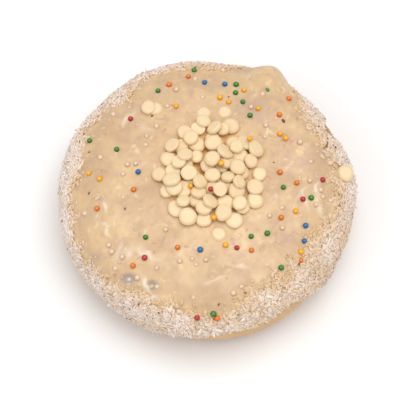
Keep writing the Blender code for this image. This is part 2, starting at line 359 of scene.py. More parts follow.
class Link:
    """A node tree under construction."""

    def __init__(self, tree: bpy.types.NodeTree) -> None:
        """Keeps the tree."""
        self.tree = tree

    def fill(self, node: bpy.types.Node, inputs: dict) -> None:
        """Sets a node's inputs.

        Args:
            node: the node.
            inputs: values, or sockets to link from, by input name or number.
        """
        for name, value in inputs.items():
            if isinstance(value, Socket):
                self.tree.links.new(value, node.inputs[name])
            else:
                node.inputs[name].default_value = value

    def node(self, kind: str, inputs: Optional[dict] = None, **settings: object) -> bpy.types.Node:
        """Adds a node.

        Args:
            kind: the node's type name.
            inputs: values, or sockets to link from, by input name or number.
            settings: the node's own settings.

        Returns:
            The node.
        """
        made = self.tree.nodes.new(kind)
        for name, value in settings.items():
            setattr(made, name, value)
        self.fill(made, inputs or {})
        return made

    def shared(self, effect: Effect, output: str, **inputs: float) -> Socket:
        """The output of a shared effect."""
        return self.node("ShaderNodeGroup", inputs, node_tree=Effects.group(effect)).outputs[output]

    def place(self) -> Socket:
        """The place on the piece, in the piece's own coordinates."""
        return self.node("ShaderNodeTexCoord").outputs["Object"]

    def noise(self, output: str, **inputs: object) -> Socket:
        """An output of noise laid on the piece."""
        return self.node("ShaderNodeTexNoise", {"Vector": self.place(), **inputs}).outputs[output]

    def maths(self, operation: str, *values: object) -> Socket:
        """The result of a Math node on numbers or sockets."""
        return self.node("ShaderNodeMath", dict(enumerate(values)), operation=operation).outputs[0]

    def clamped(self, value: Socket) -> Socket:
        """A value held between 0 and 1."""
        return self.node("ShaderNodeMath", {0: value, 1: 0.0}, use_clamp=True).outputs[0]

    def span(self, value: Socket, low: float, high: float, start: float = 0.0, end: float = 1.0) -> Socket:
        """Maps a value from low..high to start..end with a smooth step."""
        inputs = {"Value": value, "From Min": low, "From Max": high, "To Min": start, "To Max": end}
        return self.node("ShaderNodeMapRange", inputs, interpolation_type="SMOOTHSTEP").outputs[0]

    def mixed(self, share: Socket, first: object, second: object) -> Socket:
        """A colour between two, each a colour or a socket.

        Args:
            share: how much of the second, 0 to 1.
            first: the first colour.
            second: the second colour.

        Returns:
            The mixed colour.
        """
        values = {0: share}
        for place, colour in ((6, first), (7, second)):
            values[place] = (*colour, 1.0) if isinstance(colour, tuple) else colour
        return self.node("ShaderNodeMix", values, data_type="RGBA").outputs[2]


class Effects:
    """The shared shader node groups. Each method lays out one, from its input sockets to its output."""

    # The name of each group's output, then those of its inputs
    SOCKETS = {
        Effect.MOTTLE: ("Mask", "Scale", "Contrast"),
        Effect.GRAIN: ("Height", "Scale", "Pits"),
        Effect.FRECKLES: ("Mask", "Scale", "Share"),
    }

    @staticmethod
    def mottle(link: Link, scale: Socket, contrast: Socket) -> Socket:
        """Soft cloudy patches: two sizes of noise, added.

        Args:
            link: the group's tree.
            scale: how fine the patches are.
            contrast: how far they are stretched round their middle.

        Returns:
            The patches, 0 to 1.
        """
        clouds = link.noise("Fac", Scale=scale, Detail=6.0, Distortion=0.8)
        patches = link.noise("Fac", Scale=link.maths("MULTIPLY", scale, 4.3), Detail=3.0)
        both = link.maths("ADD", link.maths("MULTIPLY", clouds, 0.7), link.maths("MULTIPLY", patches, 0.3))
        spread = link.maths("MULTIPLY", link.maths("SUBTRACT", both, 0.5), contrast)
        return link.clamped(link.maths("ADD", spread, 0.5))

    @staticmethod
    def grain(link: Link, scale: Socket, pits: Socket) -> Socket:
        """Fine relief: noise of one size plus small round dents from a cell pattern.

        Args:
            link: the group's tree.
            scale: how fine the grain is.
            pits: how deep the dents are.

        Returns:
            The height.
        """
        noise = link.noise("Fac", Scale=scale, Detail=5.0, Roughness=0.6)
        inputs = {"Vector": link.place(), "Scale": link.maths("MULTIPLY", scale, 0.55)}
        cells = link.node("ShaderNodeTexVoronoi", inputs).outputs["Distance"]
        return link.maths("ADD", noise, link.maths("MULTIPLY", link.span(cells, 0.1, 0.32), pits))

    @staticmethod
    def freckles(link: Link, scale: Socket, share: Socket) -> Socket:
        """Small soft spots in some of a cell pattern's cells, of random strength, with ragged outlines.

        Args:
            link: the group's tree.
            scale: how many cells there are in a metre.
            share: the share of the cells that have a spot.

        Returns:
            The spots, 0 to 1.
        """
        noise = link.noise("Color", Scale=link.maths("MULTIPLY", scale, 1.7), Detail=3.0)
        inputs = {0: noise, "Scale": link.maths("DIVIDE", 1.6, scale)}
        shift = link.node("ShaderNodeVectorMath", inputs, operation="SCALE").outputs["Vector"]
        place = link.node("ShaderNodeVectorMath", {0: link.place(), 1: shift}).outputs["Vector"]
        cells = link.node("ShaderNodeTexVoronoi", {"Vector": place, "Scale": scale})
        lot = link.node("ShaderNodeSeparateColor", {0: cells.outputs["Color"]}).outputs["Red"]
        chosen = link.clamped(link.maths("MULTIPLY", link.maths("SUBTRACT", share, lot), 4.0))
        return link.maths("MULTIPLY", link.span(cells.outputs["Distance"], 0.1, 0.42, 1.0, 0.0), chosen)

    @classmethod
    def group(cls, effect: Effect) -> bpy.types.NodeTree:
        """The node group of an effect, built the first time that it is asked for.

        Args:
            effect: which effect it is.

        Returns:
            The group.
        """
        if effect.value in bpy.data.node_groups:
            return bpy.data.node_groups[effect.value]
        tree = bpy.data.node_groups.new(effect.value, "ShaderNodeTree")
        output, *inputs = cls.SOCKETS[effect]
        for name in inputs:
            tree.interface.new_socket(name=name, in_out="INPUT", socket_type="NodeSocketFloat")
        tree.interface.new_socket(name=output, in_out="OUTPUT", socket_type="NodeSocketFloat")
        link = Link(tree)
        given = link.node("NodeGroupInput").outputs
        result = getattr(cls, effect.value)(link, *(given[name] for name in inputs))
        link.node("NodeGroupOutput", {output: result})
        return tree


@dataclass(frozen=True)
class Finish:
    """A food surface: two colours in soft patches, a fine grain and a sheen."""

    name: str
    pale: Colour
    deep: Colour
    patch_scale: float = 60.0
    patch_contrast: float = 2.0
    roughness: tuple[float, float] = (0.4, 0.6)
    grain_scale: float = 900.0
    grain_depth: float = 0.05 * MM
    pits: float = 0.0
    glow: float = 0.0
    glow_reach: float = 1.0 * MM
    glow_spread: Colour = (1.0, 0.75, 0.5)
    coat: float = 0.0
    coat_roughness: float = 0.25
    accents: tuple[tuple[str, Colour], ...] = ()
    freckles: tuple[tuple[Colour, float, float], ...] = ()

    def colour(self, link: Link, patches: Socket) -> Socket:
        """The surface's colour: the two colours mixed by the patches, then the freckles and the accents.

        Args:
            link: the material's tree.
            patches: the patch mask.

        Returns:
            The colour.
        """
        colour = link.mixed(patches, self.pale, self.deep)
        for freckle, scale, share in self.freckles:
            spots = link.shared(Effect.FRECKLES, "Mask", Scale=scale, Share=share)
            colour = link.mixed(spots, colour, freckle)
        for attribute, accent in self.accents:
            mark = link.node("ShaderNodeAttribute", attribute_name=attribute).outputs["Fac"]
            colour = link.mixed(mark, colour, accent)
        return colour

    def build(self) -> bpy.types.Material:
        """Makes the material, the first time that it is asked for.

        Returns:
            The material.
        """
        if self.name in bpy.data.materials:
            return bpy.data.materials[self.name]
        material = bpy.data.materials.new(self.name)
        material.use_nodes = True
        link = Link(material.node_tree)
        patches = link.shared(Effect.MOTTLE, "Mask", Scale=self.patch_scale, Contrast=self.patch_contrast)
        grain = link.shared(Effect.GRAIN, "Height", Scale=self.grain_scale, Pits=self.pits)
        relief = link.node("ShaderNodeBump", {"Height": grain, "Distance": self.grain_depth})
        inputs = {
            "Base Color": self.colour(link, patches),
            "Roughness": link.span(patches, 0.0, 1.0, *self.roughness),
            "Normal": relief.outputs["Normal"],
            "Subsurface Weight": self.glow,
            "Subsurface Radius": self.glow_spread,
            "Subsurface Scale": self.glow_reach,
            "Coat Weight": self.coat,
            "Coat Roughness": self.coat_roughness,
        }
        link.fill(material.node_tree.nodes["Principled BSDF"], inputs)
        return material


@dataclass(frozen=True)
class FriedFinish(Finish):
    """Fried dough: golden above and below, with the pale band that never touches the oil."""

    band_height: float = 13.0 * MM
    band_half_width: float = 6.5 * MM
    band_fade: float = 5.0 * MM
    band_wander: float = 0.4
    crust: Colour = (0.4, 0.2, 0.1)

    def colour(self, link: Link, patches: Socket) -> Socket:
        """The dough's colour: patches in the band, fading to the crust's colour with the height.

        Args:
            link: the material's tree.
            patches: the patch mask.

        Returns:
            The colour.
        """
        height = link.node("ShaderNodeSeparateXYZ", {0: link.place()}).outputs["Z"]
        away = link.maths("ABSOLUTE", link.maths("SUBTRACT", height, self.band_height))
        away = link.maths("ADD", away, link.maths("MULTIPLY", patches, self.band_wander * self.band_fade))
        fried = link.span(away, self.band_half_width, self.band_half_width + self.band_fade)
        return link.mixed(fried, Finish.colour(self, link, patches), self.crust)


DOUGH_FINISH = FriedFinish(
    "fried_dough", srgb(228, 190, 142), srgb(208, 164, 114), patch_scale=90.0, roughness=(0.6, 0.8),
    grain_scale=700.0, grain_depth=0.25 * MM, pits=0.5, glow=0.15, crust=srgb(176, 118, 64),
)
# Its accents: greyer where the icing is thin; paler on smears, coconut and bare crumbs, with painted
# highlights mixed in; painted shade in warm brown under the heap
ICING_FINISH = Finish(
    "cream_icing", srgb(224, 191, 145), srgb(200, 166, 132), patch_scale=95.0, patch_contrast=3.4,
    roughness=(0.36, 0.52), grain_scale=650.0, grain_depth=0.09 * MM, glow=0.3, glow_reach=1.5 * MM,
    coat=0.08,
    freckles=(
        (srgb(204, 166, 142), 170.0, 0.5), (srgb(232, 200, 156), 210.0, 0.35),
        (srgb(198, 144, 114), 420.0, 0.24), (srgb(150, 106, 80), 640.0, 0.03),
    ),
    accents=(("thin", srgb(172, 154, 144)), ("pale_and_highlight", srgb(244, 226, 202)), ("under", srgb(238, 176, 88))),
)
COCONUT_FINISH = Finish(
    "dry_coconut", srgb(254, 242, 234), srgb(242, 224, 212), patch_scale=260.0, patch_contrast=3.6,
    roughness=(0.55, 0.75), grain_scale=2500.0, grain_depth=0.04 * MM,
    accents=(("toasted", srgb(228, 194, 150)),),
)
# Its ring accent is painted shade near each drop's edge; the warm accent is each drop's own tone
DROP_FINISH = Finish(
    "white_chocolate", srgb(240, 220, 180), srgb(235, 211, 168), patch_scale=120.0, roughness=(0.4, 0.55),
    grain_scale=1200.0, grain_depth=0.05 * MM, glow=0.3, glow_reach=1.2 * MM,
    accents=(("warm", srgb(233, 203, 163)), ("ring", srgb(222, 187, 138))),
)
STRAY_FINISH = replace(DROP_FINISH, name="stray_chocolate", pale=srgb(236, 216, 178), glow=0.0)
HUSK_FINISH = Finish("brown_husk", srgb(146, 92, 66), srgb(84, 48, 34), patch_scale=900.0)


class Shell(Enum):
    """The colours of the sugar pearls."""

    GREEN = "green"
    ORANGE = "orange"
    YELLOW = "yellow"
    RED = "red"
    BLUE = "blue"
    CREAM = "cream"


# The colour on top of each pearl and the darker one round its side, painted shade where the side turns from
# the light
PEARL_COLOURS = {
    Shell.GREEN: (srgb(52, 142, 26), srgb(14, 78, 10)),
    Shell.ORANGE: (srgb(238, 132, 8), srgb(206, 88, 4)),
    Shell.YELLOW: (srgb(250, 188, 8), srgb(228, 146, 4)),
    Shell.RED: (srgb(206, 34, 38), srgb(140, 8, 16)),
    Shell.BLUE: (srgb(26, 118, 178), srgb(8, 62, 124)),
    Shell.CREAM: (srgb(238, 206, 176), srgb(212, 172, 138)),
}
PEARL_SHADE = 0.85
# Each pearl darkens to its rim colour down its side: painted shade
PEARL_FINISHES = {
    shell: Finish(
        f"{shell.value}_sugar", pale, tuple(PEARL_SHADE * part for part in pale), patch_scale=500.0,
        roughness=(0.24, 0.34), grain_scale=1500.0, grain_depth=0.005 * MM, coat=0.5, coat_roughness=0.1,
        accents=(("rim", rim),),
    )
    for shell, (pale, rim) in PEARL_COLOURS.items()
}


class Piece:
    """Puts finished arrays into the scene as pieces that ride on the part."""

    @staticmethod
    def add(name: str, shapes: Array, faces: Sequence[Array], finish: Finish, slot: str,
            nodes: Sequence[str] = (), marks: Optional[dict[str, Array]] = None) -> None:
        """Adds a smooth mesh of one shape or of many with the same faces.

        Args:
            name: the piece's name.
            shapes: the shapes' points, shape by shape.
            faces: arrays of a shape's point numbers, each holding faces with the same number of corners.
            finish: its finish.
            slot: the record's slot for it; not used.
            nodes: the solids that it stands for.
            marks: number attributes of its points, by name.
        """
        shift = shapes.shape[1] * np.arange(len(shapes))[:, None, None]
        copies = [(group[None] + shift).reshape(-1, group.shape[1]).tolist() for group in faces]
        mesh = bpy.data.meshes.new(name)
        mesh.from_pydata(shapes.reshape(-1, 3).tolist(), [], sum(copies, []))
        for mark, values in (marks or {}).items():
            mesh.attributes.new(mark, "FLOAT", "POINT").data.foreach_set("value", values.ravel())
        mesh.materials.append(finish.build())
        mesh.shade_smooth()
        made = bpy.data.objects.new(name, mesh)
        bpy.context.scene.collection.objects.link(made)
        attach(made, BODY)
        if nodes:
            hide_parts(*nodes)
        LOG.info("%s: %d faces", name, len(mesh.polygons))

    @staticmethod
    def capped(*grids: Array) -> Array:
        """Closes grids of rings with a pole at either end, at the height of the ring that it closes.

        Args:
            grids: points by row and column, each grid going on from the one before.

        Returns:
            The points as pole, rows and pole.
        """
        rows = np.concatenate(grids)
        poles = np.zeros((2, 3))
        poles[:, 2] = rows[[0, -1], :, 2].mean(axis=1)
        return np.concatenate([poles[:1], rows.reshape(-1, 3), poles[1:]])

    @staticmethod
    def ball_faces(rows: int, columns: int) -> list[Array]:
        """Faces of a grid that closes round and at both poles, its points being pole, rows, pole.

        Args:
            rows: rows between the poles, from the top down.
            columns: points in each row, counter-clockwise seen from above.

        Returns:
            The triangles at the poles and the quads between them, facing out.
        """
        here = np.arange(columns)
        there = (here + 1) % columns
        last = 1 + (rows - 1) * columns
        cap = np.stack([np.zeros_like(here), 1 + here, 1 + there], axis=1)
        foot = np.stack([np.full_like(here, last + columns), last + there, last + here], axis=1)
        above = 1 + columns * np.arange(rows - 1)[:, None]
        below = above + columns
        quads = np.stack([above + here, below + here, below + there, above + there], axis=-1)
        return [np.concatenate([cap, foot]), quads.reshape(-1, 4)]


@dataclass
class Dough:
    """The dough, with the fine wrinkles and dimples of a fried skin."""

    body: Body = Body()
    columns: int = 360
    side_rows: int = 104
    base_rows: int = 5
    wrinkles: Waves = Waves(seed=41, length=7.0 * MM, height=0.10 * MM, count=20)
    dimples: Waves = Waves(seed=42, length=2.2 * MM, height=0.045 * MM, count=24)
    smooth_foot: float = 12.0  # how far up from the base the relief grows to its full height

    def points(self) -> Array:
        """The skin: stations from the top's middle to the base's edge, then straight in over the base.

        Returns:
            Pole, rows and pole.
        """
        low = self.body.base_station
        station = self.body.middle + (low - self.body.middle) * steps(self.side_rows)
        turn = np.arange(self.columns)[None] * 360.0 / self.columns
        skin = self.body.surface(turn, station, 0.0)
        relief = self.wrinkles.at(skin) + self.dimples.at(skin)
        relief = relief * np.clip((station - low) / self.smooth_foot, 0.0, 1.0)
        skin = skin + self.body.outward(turn, station) * relief[..., None]
        skin[-1, :, 2] = 0.0
        inward = np.linspace(1.0, 0.0, self.base_rows + 2)[1:-1, None, None]
        return Piece.capped(skin, skin[-1:] * inward)

    def build(self) -> None:
        """Adds the dough."""
        faces = Piece.ball_faces(self.side_rows + self.base_rows, self.columns)
        Piece.add("dough_body", self.points()[None], faces, DOUGH_FINISH, "dough", ["dough"])


@dataclass
class Icing:
    """The icing, with its waves, lumps, smears and burst bubbles, craggy where the coconut sticks in it."""

    coat: Coat = Coat()
    heap: HeapArea = HeapArea()
    columns: int = 540
    outer_rows: int = 164
    lip_rows: int = 6
    back_rows: int = 10
    back_gap: float = 0.1 * MM  # from the dough to the coat's hidden side
    back_reach: float = 0.97  # how far up to the middle the hidden side goes
    lip_droop: float = 1.5
    lumps: Waves = Waves(seed=51, length=7.5 * MM, height=0.09 * MM, count=24)
    ripples: Waves = Waves(seed=52, length=2.6 * MM, height=0.03 * MM, count=30)
    crags: Waves = Waves(seed=53, length=2.0 * MM, height=0.15 * MM, count=36)
    # The fields along X and Y that bend the smears, and by how much
    bends: tuple[Waves, Waves] = (Waves(55, 4.5 * MM, 1.0 * MM, 16), Waves(56, 4.5 * MM, 1.0 * MM, 16))
    wobble: float = 0.55
    # Pale smears, partly pale cream and partly painted sheen on their ridges: X, Y, direction in degrees,
    # half length, half width and height in mm
    smears: tuple = (
        (-18.6, -25.4, -33.0, 2.4, 0.8, 0.26), (-24.6, -25.2, 65.0, 1.5, 0.8, 0.18),
        (-18.9, -34.2, -68.0, 1.7, 0.5, 0.3), (-17.2, -37.4, -30.0, 1.5, 0.6, 0.24),
        (-27.2, -24.0, 75.0, 2.2, 0.7, 0.15), (-31.0, -17.0, -60.0, 1.6, 0.4, 0.2),
        (-28.5, -34.5, -45.0, 1.8, 0.6, 0.2), (19.4, 16.4, 95.0, 1.7, 0.3, 0.34),
        (31.0, -7.0, 100.0, 2.0, 0.35, 0.28), (35.0, -2.6, 80.0, 1.8, 0.35, 0.25),
        (35.6, -9.6, 120.0, 2.6, 0.9, 0.22), (29.4, -5.4, 60.0, 2.4, 0.4, 0.14),
        (-31.6, -9.2, -70.0, 1.2, 0.35, 0.25), (-25.0, 21.2, 40.0, 1.3, 0.7, 0.2),
        (-19.6, 17.2, -25.0, 1.9, 0.8, 0.12), (9.6, -29.4, -20.0, 2.2, 0.4, 0.16),
        (3.0, -33.4, 15.0, 2.6, 0.5, 0.14), (25.4, 4.2, 50.0, 2.6, 0.4, 0.12),
    )
    # How much paler a smear is for each mm of its height, the taller ridges carrying more painted sheen
    smear_paleness: float = 3.2  # for each mm of height
    # Burst bubbles, where the icing is thin: X, Y, half length along X and half width along Y in mm
    bubbles: tuple = ((-24.2, -32.2, 2.5, 1.5), (-16.9, -34.7, 2.0, 1.6))
    # A bubble's raised ring: height in mm, middle and width, and its dent: depth in mm and width
    bubble_ring: tuple[float, float, float] = (0.12, 1.1, 0.35)
    bubble_dent: tuple[float, float] = (0.3, 0.8)
    # How thin the icing looks in a bubble, how far out, and how sharply that ends
    bubble_look: tuple[float, float, int] = (0.95, 1.05, 5)
    # Painted highlights in the bubbles: X and Y in mm, then their half length, half width and paleness
    glints: tuple = ((-24.1, -32.4), (-17.0, -34.9), (-15.4, -35.0))
    glint_look: tuple[float, float, float] = (0.45, 0.3, 1.7)
    # Larger thin stretches that look greyer: X, Y and reach in mm, then their flatness and strength
    thin: tuple = (
        (-24.0, 24.5, 5.5), (-13.0, 30.5, 5.0), (14.0, 25.0, 6.0), (37.0, 9.5, 3.0), (-31.0, 6.5, 5.0),
        (-36.5, -12.0, 5.0), (0.5, 33.0, 5.0), (-34.0, -25.0, 4.0), (17.0, 21.0, 4.5), (-22.0, -16.0, 3.0),
    )
    thin_look: tuple[float, float] = (0.7, 0.22)
    # Drowned coconut: how many bits, their seed, how far out in mm, and the share that lies bare, painted
    # paler partly as coconut and partly as painted glints
    crumbs: int = 260
    crumb_seed: int = 54
    crumb_reach: float = 44.0
    crumb_bare: float = 0.16
    # Round the coconut's edge: over how many degrees the crags fade out and how far of that lies past the
    # edge, as a share, then how much paler the icing is among the coconut, partly its own paleness there and
    # partly painted light that lifts the shade between the shreds
    in_coconut_fade: tuple[float, float] = (14.0, 0.7)
    coconut_paleness: float = 0.15
    # Painted shade under the heap, warm brown as in the gaps between the drops: its strength, where it ends
    # and how wide its edge is
    heap_shade_look: tuple[float, float, float] = (0.7, 0.95, 0.45)

    @staticmethod
    def hump(flat: Array, place: tuple[float, float], way: float, length: float, width: float) -> Array:
        """A long hump of height 1: exp(-(along / length)^2 - (across / width)^2).

        Args:
            flat: X and Y of the points.
            place: its middle, in mm.
            way: its direction, in radians.
            length: its half length, in mm.
            width: its half width, in mm.

        Returns:
            Its height at each point.
        """
        offset = flat / MM - np.array(place)
        along = offset @ np.array([math.cos(way), math.sin(way)])
        across = offset @ np.array([-math.sin(way), math.cos(way)])
        return np.exp(-((along / length) ** 2) - (across / width) ** 2)

    def smear_marks(self, flat: Array) -> tuple[Array, Array]:
        """Smears: long humps, their height and how pale they are, partly pale cream and partly painted sheen.

        Args:
            flat: X and Y of the points.

        Returns:
            The height, and the paleness from 0 up.
        """
        height, pale = np.zeros((2, *flat.shape[:-1]))
        for x, y, way, length, width, rise in self.smears:
            hump = self.hump(flat, (x, y), math.radians(way), length, width)
            height += rise * MM * hump
            pale += min(1.0, self.smear_paleness * rise) * np.sqrt(hump)
        return height, pale

    def bubble_marks(self, flat: Array) -> tuple[Array, Array]:
        """Burst bubbles and thin stretches: the dent with its raised ring, and how thin the icing looks.

        Args:
            flat: X and Y of the points.

        Returns:
            The height, and the thinness from 0 up.
        """
        height, thin = np.zeros((2, *flat.shape[:-1]))
        ring_height, ring_middle, ring_width = self.bubble_ring
        depth, dent_width = self.bubble_dent
        strength, reach, sharpness = self.bubble_look
        for x, y, length, width in self.bubbles:
            away = np.linalg.norm((flat / MM - np.array([x, y])) / np.array([length, width]), axis=-1)
            ring = ring_height * bell(away - ring_middle, ring_width)
            height += MM * (ring - depth * bell(away, dent_width))
            thin += strength * np.exp(-((away / reach) ** sharpness))
        flatness, strength = self.thin_look
        for x, y, reach in self.thin:
            thin += strength * self.hump(flat, (x, y), 0.0, reach, flatness * reach)
        return height, thin

    def crumb_marks(self, flat: Array) -> tuple[Array, Array]:
        """Coconut drowned in the icing: small rounded humps, long one way, at seeded places, a few bare and
        paler, partly as coconut and partly as painted glints.

        Args:
            flat: X and Y of the points.

        Returns:
            The height, and the paleness from 0 up, with the bubbles' painted highlights.
        """
        draw = np.random.default_rng(self.crumb_seed)
        height, pale = np.zeros((2, *flat.shape[:-1]))
        for _ in range(self.crumbs):
            away, angle = self.crumb_reach * math.sqrt(draw.uniform(0.1, 1.0)), draw.uniform(0.0, math.tau)
            way, length, width = draw.uniform(0.0, math.pi), draw.uniform(0.4, 1.1), draw.uniform(0.22, 0.38)
            rise, bare = draw.uniform(0.08, 0.28), draw.uniform() < self.crumb_bare
            hump = self.hump(flat, (away * math.cos(angle), away * math.sin(angle)), way, length, width)
            height += rise * MM * hump
            # Bare crumbs are paler, partly as coconut and partly as painted glints
            pale += (0.5 if bare else 0.12) * hump
        # The glints are painted highlights laid into the colour
        length, width, strength = self.glint_look
        for place in self.glints:
            pale += strength * self.hump(flat, place, 0.0, length, width)
        return height, pale

    def shape(self) -> tuple[Array, dict[str, Array]]:
        """The coat: from the top's middle down to its wavy edge, round a lip, and back up along the dough.

        Returns:
            The points as pole, rows and pole, and their marks: how pale each looks, partly with painted
            highlight, how thin each looks, and how much painted shade from the heap lies on it.
        """
        coat, body = self.coat, self.coat.body
        turn = np.arange(self.columns)[None] * 360.0 / self.columns
        edge = coat.lower_edge(turn)
        station = body.middle + (edge - body.middle) * steps(self.outer_rows)
        out = coat.out(turn, station)
        smooth = body.surface(turn, station, out)
        bent = smooth[..., :2] + self.wobble * np.stack([waves.at(smooth) for waves in self.bends], axis=-1)
        smears, paleness = self.smear_marks(bent)
        bubbles, thinness = self.bubble_marks(smooth[..., :2])
        crumbs, crumb_paleness = self.crumb_marks(smooth[..., :2])
        fade, shift = self.in_coconut_fade
        in_coconut = np.clip((coat.coconut_edge(turn) - station) / fade + shift, 0.0, 1.0)
        relief = self.lumps.at(smooth) + self.ripples.at(smooth) + crumbs + smears + bubbles
        relief = relief + self.crags.at(smooth) * in_coconut
        outer = smooth + body.outward(turn, station) * relief[..., None]
        curl = steps(self.lip_rows) * math.pi
        lip_out = self.back_gap + (out[-1:] + relief[-1:] - self.back_gap) * np.cos(curl / 2.0)
        lip = body.surface(turn, edge - self.lip_droop * np.sin(curl), lip_out)
        back_station = edge + (body.middle - edge) * steps(self.back_rows) * self.back_reach
        points = Piece.capped(outer, lip, body.surface(turn, back_station, self.back_gap))
        strength, end, width = self.heap_shade_look
        looks = {
            # Paleness of smears, coconut and crumbs, partly painted highlight: glints in the bubbles and
            # sheen on ridges
            "pale_and_highlight": paleness + crumb_paleness + self.coconut_paleness * in_coconut**2,
            "thin": thinness,
            # Painted shade: the icing under the heap turns warm brown, as where the drops shade it
            "under": strength * np.clip((end - self.heap.away(bent)) / width, 0.0, 1.0),
        }
        marks = {name: np.zeros(len(points)) for name in looks}
        for name, values in looks.items():
            marks[name][1 : 1 + values.size] = np.clip(values, 0.0, 1.0).ravel()
        return points, marks

    def build(self) -> None:
        """Adds the icing.

        The rows are those of the outer side, the lip and the hidden side.
        """
        points, marks = self.shape()
        faces = Piece.ball_faces(self.outer_rows + self.lip_rows + self.back_rows, self.columns)
        Piece.add("icing_coat", points[None], faces, ICING_FINISH, "icing", ["icing"], marks)


class Strips:
    """Bent, tapering strips such as grated coconut or a husk's threads."""

    ALONG = np.array([[-0.5, -0.2, 0.2, 0.5]])
    TAPER = np.array([[0.35, 1.0, 0.9, 0.3]])
    CORNERS = 0.5 * np.array([[-1.0, 1.0, 1.0, -1.0], [-1.0, -1.0, 1.0, 1.0]])
    MIDDLE = 0.1  # what the bend's parabola is lowered by, so that a strip stays near its middle

    @staticmethod
    def faces() -> list[Array]:
        """The faces of one strip, which is four rectangles of corners in a row.

        Returns:
            The four sides of each stretch and the two ends, as one array.
        """
        ring, following = np.arange(4), np.array([1, 2, 3, 0])
        sides = [np.stack([s + ring, s + following, s + 4 + following, s + 4 + ring], 1) for s in (0, 4, 8)]
        return [np.concatenate([*sides, np.array([[0, 3, 2, 1], [12, 13, 14, 15]])])]

    @classmethod
    def points(cls, length: Array, width: Array, thick: Array, draw: np.random.Generator,
               bend: float = 0.22, sag: float = 0.16, twist: float = 0.7) -> Array:
        """Strips along X: each is bent along a parabola both ways, twisted, and narrow at both ends.

        Args:
            length: how long each is.
            width: how wide each is.
            thick: how thick each is.
            draw: the random source.
            bend: how far they bend sideways, as a standard deviation.
            sag: how far they bend up or down, as a standard deviation.
            twist: how far they twist, as a standard deviation in radians.

        Returns:
            The corners, strip by strip.
        """
        count = len(length)
        taper = cls.TAPER * draw.uniform(0.85, 1.15, (count, 4))
        parabola = length[:, None] * (cls.ALONG**2 - cls.MIDDLE)
        bent = (draw.normal(0.0, bend, (count, 1)) * parabola)[..., None]
        sagged = (draw.normal(0.0, sag, (count, 1)) * parabola)[..., None]
        twisted = (draw.normal(0.0, twist, (count, 1)) * cls.ALONG)[..., None]
        y = (width[:, None] * taper)[..., None] * cls.CORNERS[0]
        z = thick[:, None, None] * cls.CORNERS[1] * np.ones_like(y)
        x = (length[:, None] * cls.ALONG)[..., None] * np.ones_like(y)
        turned_y = y * np.cos(twisted) - z * np.sin(twisted)
        turned_z = y * np.sin(twisted) + z * np.cos(twisted)
        return np.stack([x, turned_y + bent, turned_z + sagged], axis=-1).reshape(count, 16, 3)


